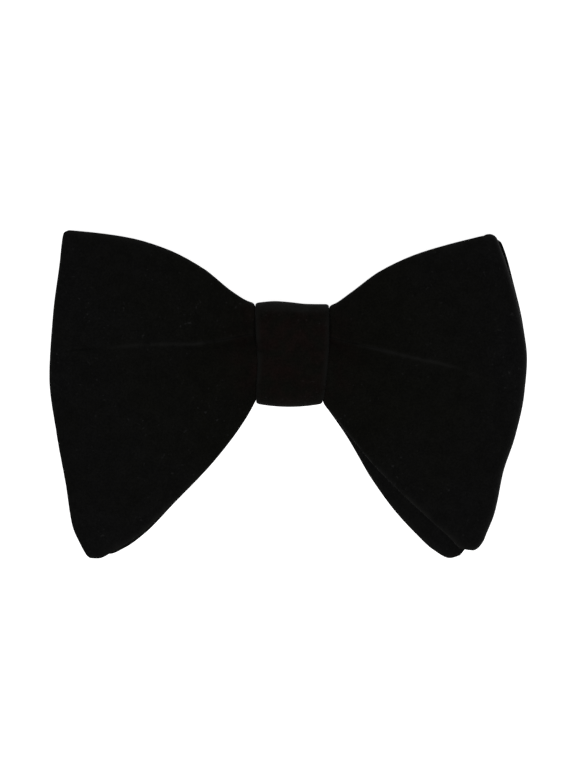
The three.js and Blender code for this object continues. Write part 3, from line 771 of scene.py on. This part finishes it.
def sewn(name, tree, thread, rows, sizes):
    """A piece made of stitches along rows of points, each row with the way out at its points."""
    vertices, outward, edges = [], [], []
    for points, normals in rows:
        edges += [(len(vertices) + k, len(vertices) + k + 1) for k in range(len(points) - 1)]
        vertices += [list(point * MILLIMETRE) for point in points]
        outward += list(normals)
    mesh = bpy.data.meshes.new(name)
    mesh.from_pydata(vertices, edges, [])
    mesh.attributes.new("out", "FLOAT_VECTOR", "POINT").data.foreach_set("vector", np.ravel(outward))
    piece = new_object(name, mesh)
    sewing = piece.modifiers.new("sewing", "NODES")
    sewing.node_group = tree
    plain = ("Squareness", "Slant")  # a power and an angle, where the others are lengths
    values = {key: value if key in plain else value * MILLIMETRE for key, value in sizes.items()}
    values.update({"Thickness": THREAD * MILLIMETRE, "Thread": thread})
    for socket in tree.interface.items_tree:
        if socket.in_out == "INPUT" and socket.name in values:
            sewing[socket.identifier] = values[socket.name]
    return finished(piece)


def seam_row():
    """The path of the band's closing seam, on the outer face of its wall."""
    points, normals, halves = knot_grid()[:3]
    at = round(KNOT_SEAM * KNOT_STEPS_ROUND)
    surface = points[at] + normals[at] * halves[at][:, None]
    inside = np.minimum(surface[:, 0] - surface[0, 0], surface[-1, 0] - surface[:, 0])
    chosen = inside >= SLIP_STITCH_ENDS
    return surface[chosen], normals[at][chosen]


def tack_row(low_y, high_y):
    """The path of a group of tacks, on the collar side of the clip's front leg."""
    z = CLIP_THICKNESS + CLIP_GAP
    points = np.array([(KNOT_MIDDLE_X, low_y, z), (KNOT_MIDDLE_X, high_y, z)])
    return points, np.array([(0, 0, -1), (0, 0, -1)])


# Finishing the meshes

def simulated(piece):
    """Lets the padded piece swell and its velvet buckle, as cloth, and works the result into its mesh.
    Points move only as far as their freedom allows, so the piece keeps its outline and its neighbours."""
    count = len(piece.data.vertices)
    loose = np.empty(count, np.float32)
    piece.data.attributes["loose"].data.foreach_get("value", loose)
    rest = np.empty(count * 3, np.float32)
    piece.data.vertices.foreach_get("co", rest)
    held = piece.vertex_groups.new(name="held")
    for vertex, freedom in enumerate(loose):
        held.add([vertex], float(1 - freedom), "REPLACE")
    cloth = piece.modifiers.new("velvet", "CLOTH")
    cloth.settings.use_pressure = True
    cloth.settings.uniform_pressure_force = CLOTH_PRESSURE
    cloth.settings.shrink_min = -SPARE_CLOTH
    cloth.settings.vertex_group_mass = held.name
    cloth.settings.effector_weights.gravity = 0
    cloth.collision_settings.use_collision = False
    cloth.point_cache.frame_end = CLOTH_FRAMES
    for step in range(1, CLOTH_FRAMES + 1):
        bpy.context.scene.frame_set(step)
    shape = piece.evaluated_get(bpy.context.evaluated_depsgraph_get())
    swollen = np.empty(count * 3, np.float32)
    shape.data.vertices.foreach_get("co", swollen)
    piece.modifiers.clear()
    piece.vertex_groups.clear()
    bpy.context.scene.frame_set(1)
    rest = rest.reshape(-1, 3)
    move = swollen.reshape(-1, 3) - rest
    far = np.maximum(np.linalg.norm(move, axis=1, keepdims=True), TINY)
    room = loose[:, None] * CLOTH_ROOM * MILLIMETRE + TINY
    piece.data.vertices.foreach_set("co", (rest + move / far * room * np.tanh(far / room)).ravel())
    return piece


def finished(piece):
    """The piece with its modifiers worked into its mesh."""
    shape = piece.evaluated_get(bpy.context.evaluated_depsgraph_get())
    mesh = bpy.data.meshes.new_from_object(shape)
    piece.modifiers.clear()
    piece.data = mesh
    mesh.name = piece.name
    mesh.polygons.foreach_set("use_smooth", [True] * len(mesh.polygons))
    return piece


def smoothed(piece):
    """The piece, one step finer and rounder."""
    finer = piece.modifiers.new("finer", "SUBSURF")
    finer.levels = finer.render_levels = 1
    return finished(piece)


# Materials

def linear(hex_colour):
    """An sRGB hex colour as linear red, green, blue and alpha."""
    channels = [int(hex_colour[k:k + 2], 16) / 255 for k in (1, 3, 5)]
    return [c / 12.92 if c <= 0.04045 else ((c + 0.055) / 1.055) ** 2.4 for c in channels] + [1.0]


def add_node(tree, kind, settings=None, inputs=None):
    """Adds a node with its settings. Its inputs are values, or the sockets or nodes that feed them: a
    node does so through the first output that it has in use."""
    made = tree.nodes.new(kind)
    for name, value in (settings or {}).items():
        setattr(made, name, value)
    for name, value in (inputs or {}).items():
        if isinstance(value, bpy.types.Node):
            value = next(output for output in value.outputs if output.enabled)
        if isinstance(value, bpy.types.NodeSocket):
            tree.links.new(value, made.inputs[name])
        else:
            made.inputs[name].default_value = value
    return made


def new_material(name):
    material = bpy.data.materials.new(name)
    material.use_nodes = True
    material.node_tree.nodes.clear()
    return material, material.node_tree


def velvet(name, near_knot, outside, warm, lint, opened_and_highlight):
    """Black cotton velvet. Its upright pile swallows the light that falls along it and glints where it
    is seen from the side, so the cloth is blacker than a smooth one. Brushing leaves patches in it, wear
    has turned the black near the knot a little warmer, and it is lighter where the pile opens over an
    edge. Along the turned edges, the lip of the fold line and the top of the knot that lighter colour is
    also a painted highlight."""
    material, tree = new_material(name)
    place = add_node(tree, "ShaderNodeTexCoord").outputs["Object"]
    middle = (-MILLIMETRE * KNOT_MIDDLE_X, -MILLIMETRE * KNOT_MIDDLE_Y, 0)
    flat = add_node(tree, "ShaderNodeVectorMath", {"operation": "MULTIPLY_ADD"}, {
        0: place, 1: (1, 1, 0), 2: middle})
    from_knot = add_node(tree, "ShaderNodeVectorMath", {"operation": "LENGTH"}, {0: flat})
    pattern = {"from the knot": from_knot}
    for key, (size, detail, roughness) in VELVET_PATTERNS.items():
        pattern[key] = add_node(tree, "ShaderNodeTexNoise", None, {
            "Vector": place, "Scale": 1 / size, "Detail": detail, "Roughness": roughness})
    share = {}
    for key, (source, low, high, least, most) in VELVET_SHARES.items():
        share[key] = add_node(tree, "ShaderNodeMapRange", {"interpolation_type": "SMOOTHSTEP"}, {
            "Value": pattern[source], "From Min": low, "From Max": high, "To Min": least,
            "To Max": most})
    # Lighter along the turned edges, the fold line's lip and the top of the knot: opened pile, and a
    # painted highlight.
    worn = add_node(tree, "ShaderNodeAttribute", {"attribute_name": "worn"}).outputs["Fac"]
    warmed, shade, linty, thinned_and_highlit = [
        add_node(tree, "ShaderNodeMath", {"operation": "MULTIPLY"}, {0: one, 1: other})
        for one, other in ((share["warmth"], share["by the knot"]),
                           (share["brightness"], share["grain"]),
                           (share["flecks"], share["clusters"]),
                           (worn, share["highlight_and_openness"]))]

    # The ground black, shaded by the pile, and over it the lint, and the opened pile with the painted
    # highlight on it.
    outwards = add_node(tree, "ShaderNodeMapRange", None, {"Value": from_knot, **OUTSIDE})
    blend = add_node(tree, "ShaderNodeMath", {"operation": "MULTIPLY_ADD", "use_clamp": True}, {
        0: pattern["brushed"], 1: BRUSHED_BLEND, 2: outwards})
    ground = add_node(tree, "ShaderNodeMix", {"data_type": "RGBA"}, {
        "Factor": blend, "A": linear(near_knot), "B": linear(outside)})
    warmer = add_node(tree, "ShaderNodeMix", {"data_type": "RGBA"}, {
        "Factor": warmed, "A": ground, "B": linear(warm)})
    shaded = add_node(tree, "ShaderNodeVectorMath", {"operation": "SCALE"}, {
        0: warmer, "Scale": shade})
    flecked = add_node(tree, "ShaderNodeMix", {"data_type": "RGBA"}, {
        "Factor": linty, "A": shaded, "B": linear(lint)})
    colour = add_node(tree, "ShaderNodeMix", {"data_type": "RGBA"}, {
        "Factor": thinned_and_highlit, "A": flecked, "B": linear(opened_and_highlight)})

    nap = add_node(tree, "ShaderNodeMath", {"operation": "MULTIPLY_ADD"}, {
        0: pattern["brushed"], 1: BRUSHED_RISE, 2: pattern["tufts"]})
    raised = add_node(tree, "ShaderNodeBump", None, {
        "Strength": 0.5, "Distance": PILE_DEPTH, "Height": nap})
    surface = add_node(tree, "ShaderNodeBsdfPrincipled", None, {
        "Base Color": colour, "Roughness": 0.9, "Specular IOR Level": 0.02,
        "Sheen Weight": SHEEN, "Sheen Roughness": 0.35, "Sheen Tint": linear("#8f8f8f"),
        "Normal": raised})
    add_node(tree, "ShaderNodeOutputMaterial", None, {"Surface": surface})
    return material


def nickelled_steel():
    """Spring steel, nickel plated and brushed along its length, so its shine is drawn out in lines."""
    material, tree = new_material("brushed nickel-plated spring steel")
    place = add_node(tree, "ShaderNodeTexCoord").outputs["Object"]
    along_strip = add_node(tree, "ShaderNodeMapping", None, {
        "Vector": place, "Scale": (BRUSH_STRETCH, 1, BRUSH_STRETCH)})
    lines = add_node(tree, "ShaderNodeTexNoise", None, {
        "Vector": along_strip, "Scale": 1 / BRUSH_LINE, "Detail": 3.0})
    rough = add_node(tree, "ShaderNodeMapRange", None, {
        "Value": lines, "To Min": 0.26, "To Max": 0.46})
    grooves = add_node(tree, "ShaderNodeBump", None, {
        "Strength": 0.2, "Distance": 0.02 * MILLIMETRE, "Height": lines})
    surface = add_node(tree, "ShaderNodeBsdfPrincipled", None, {
        "Base Color": linear("#9b9da0"), "Metallic": 1.0, "Roughness": rough, "Normal": grooves})
    add_node(tree, "ShaderNodeOutputMaterial", None, {"Surface": surface})
    return material


def sewing_thread():
    """Black cotton thread of two twisted strands, waxed, so it is smoother than the velvet and has a
    dull shine. The twist is drawn twice as coarse as it is so that it shows."""
    material, tree = new_material("waxed black cotton thread")
    place = add_node(tree, "ShaderNodeTexCoord").outputs["Object"]
    twist = add_node(tree, "ShaderNodeTexWave", {"bands_direction": "DIAGONAL"}, {
        "Vector": place, "Scale": TWIST_SCALE / (2 * THREAD * MILLIMETRE), "Distortion": 1.5,
        "Detail": 1.0}).outputs["Fac"]
    shade = add_node(tree, "ShaderNodeMix", {"data_type": "RGBA"}, {
        "Factor": twist, "A": linear("#080808"), "B": linear("#121212")})
    strands = add_node(tree, "ShaderNodeBump", None, {
        "Strength": 0.6, "Distance": 0.1 * MILLIMETRE, "Height": twist})
    surface = add_node(tree, "ShaderNodeBsdfPrincipled", None, {
        "Base Color": shade, "Roughness": 0.6, "Specular IOR Level": 0.15, "Normal": strands})
    add_node(tree, "ShaderNodeOutputMaterial", None, {"Surface": surface})
    return material


def light_table():
    """Opal acrylic over a light table: the plain floor, white by its own light, so that shadows on it
    stay faint. The faint mottle is its diffusing pigment."""
    material, tree = new_material("opal acrylic light table")
    place = add_node(tree, "ShaderNodeTexCoord").outputs["Object"]
    mottle = add_node(tree, "ShaderNodeTexNoise", None, {"Vector": place, "Scale": 40.0})
    colour = add_node(tree, "ShaderNodeMix", {"data_type": "RGBA"}, {
        "Factor": mottle, "A": linear("#b9b9b9"), "B": linear("#bfbfbf")})
    surface = add_node(tree, "ShaderNodeBsdfPrincipled", None, {
        "Base Color": colour, "Roughness": 1.0, "Specular IOR Level": 0.0,
        "Emission Color": linear("#ffffff"), "Emission Strength": TABLE_GLOW})
    add_node(tree, "ShaderNodeOutputMaterial", None, {"Surface": surface})
    return material


# Floor, light and camera

def floor():
    half = FLOOR_SIZE / 2
    mesh = bpy.data.meshes.new("floor")
    mesh.from_pydata([(-half, -half, 0), (half, -half, 0), (half, half, 0), (-half, half, 0)], [],
                     [(0, 1, 2, 3)])
    mesh.materials.append(light_table())
    plane = new_object("floor", mesh)
    plane.location.z = -FLOOR_BELOW


def softbox(name, place, size, power):
    light = bpy.data.lights.new(name, "AREA")
    light.shape = "SQUARE"
    light.size = size
    light.energy = power
    lamp = new_object(name, light)
    lamp.location = place
    aim = Vector(LIGHT_AIM) - lamp.location
    lamp.rotation_euler = aim.to_track_quat("-Z", "Y").to_euler()


def studio():
    world = bpy.data.worlds.new("pale studio")
    world.use_nodes = True
    tree = world.node_tree
    tree.nodes.clear()
    seen = add_node(tree, "ShaderNodeLightPath").outputs["Is Camera Ray"]
    strength = add_node(tree, "ShaderNodeMix", None, {
        "Factor": seen, "A": WORLD_STRENGTH, "B": BACKDROP_STRENGTH})
    walls = add_node(tree, "ShaderNodeBackground", None, {
        "Color": linear("#ffffff"), "Strength": strength})
    add_node(tree, "ShaderNodeOutputWorld", None, {"Surface": walls})
    bpy.context.scene.world = world
    bpy.context.scene.view_settings.view_transform = "Standard"
    for name, (place, size, power) in SOFTBOXES.items():
        softbox(name, place, size, power)


def front_camera():
    """Straight above the bow, far off and narrow, so that the wings show without perspective."""
    data = bpy.data.cameras.new("camera")
    data.sensor_width = SENSOR
    data.lens = SENSOR * (CAMERA_Z - VIEW_PLANE_Z) / VIEW_HEIGHT
    data.clip_end = FLOOR_SIZE
    camera = new_object("camera", data)
    camera.location = (VIEW_MIDDLE_X, VIEW_MIDDLE_Y, CAMERA_Z)
    bpy.context.scene.camera = camera


# The bow

# The back wings take a lighter copy of the velvet: painted light, which makes up for the shade the front
# wings cast on them.
front_velvet = velvet("black cotton velvet", near_knot="#0a0a08", outside="#0b0b0b", warm="#100a09",
                      lint="#191919", opened_and_highlight="#141413")
back_velvet_painted_lighter = velvet("black cotton velvet, painted lighter for shade", near_knot="#0b0b0a",
                     outside="#0c0c0c", warm="#100a09", lint="#191919", opened_and_highlight="#141413")
pieces = {
    "front_wing_left": (wing_piece("left_front_wing", FRONT_WING_LEFT), front_velvet, WING_FILL),
    "front_wing_right": (wing_piece("right_front_wing", FRONT_WING_RIGHT), front_velvet, WING_FILL),
    "back_wing_left": (wing_piece("left_back_wing", BACK_WING_LEFT), back_velvet_painted_lighter, WING_FILL),
    "back_wing_right": (wing_piece("right_back_wing", BACK_WING_RIGHT), back_velvet_painted_lighter, WING_FILL),
    "knot_band": (knot_piece("knot"), front_velvet, KNOT_FILL),
}
for node, (piece, cloth, fill) in pieces.items():
    simulated(piece)
    smoothed(piece)
    piece.data.materials.append(cloth)
    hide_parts(node)
    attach(piece, "root")

clip = finished(clip_piece("clip"))
clip.data.materials.append(nickelled_steel())
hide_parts("collar_clip")
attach(clip, "root")

thread = sewing_thread()
stitches = hand_stitches()
sewing = [
    sewn("slip_stitches", stitches, thread, [seam_row()], SLIP_STITCH),
    sewn("clip_tacks", stitches, thread, [tack_row(*ys) for ys in TACKS_Y], TACK),
]
for piece in sewing:
    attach(piece, "root")

floor()
studio()
front_camera()
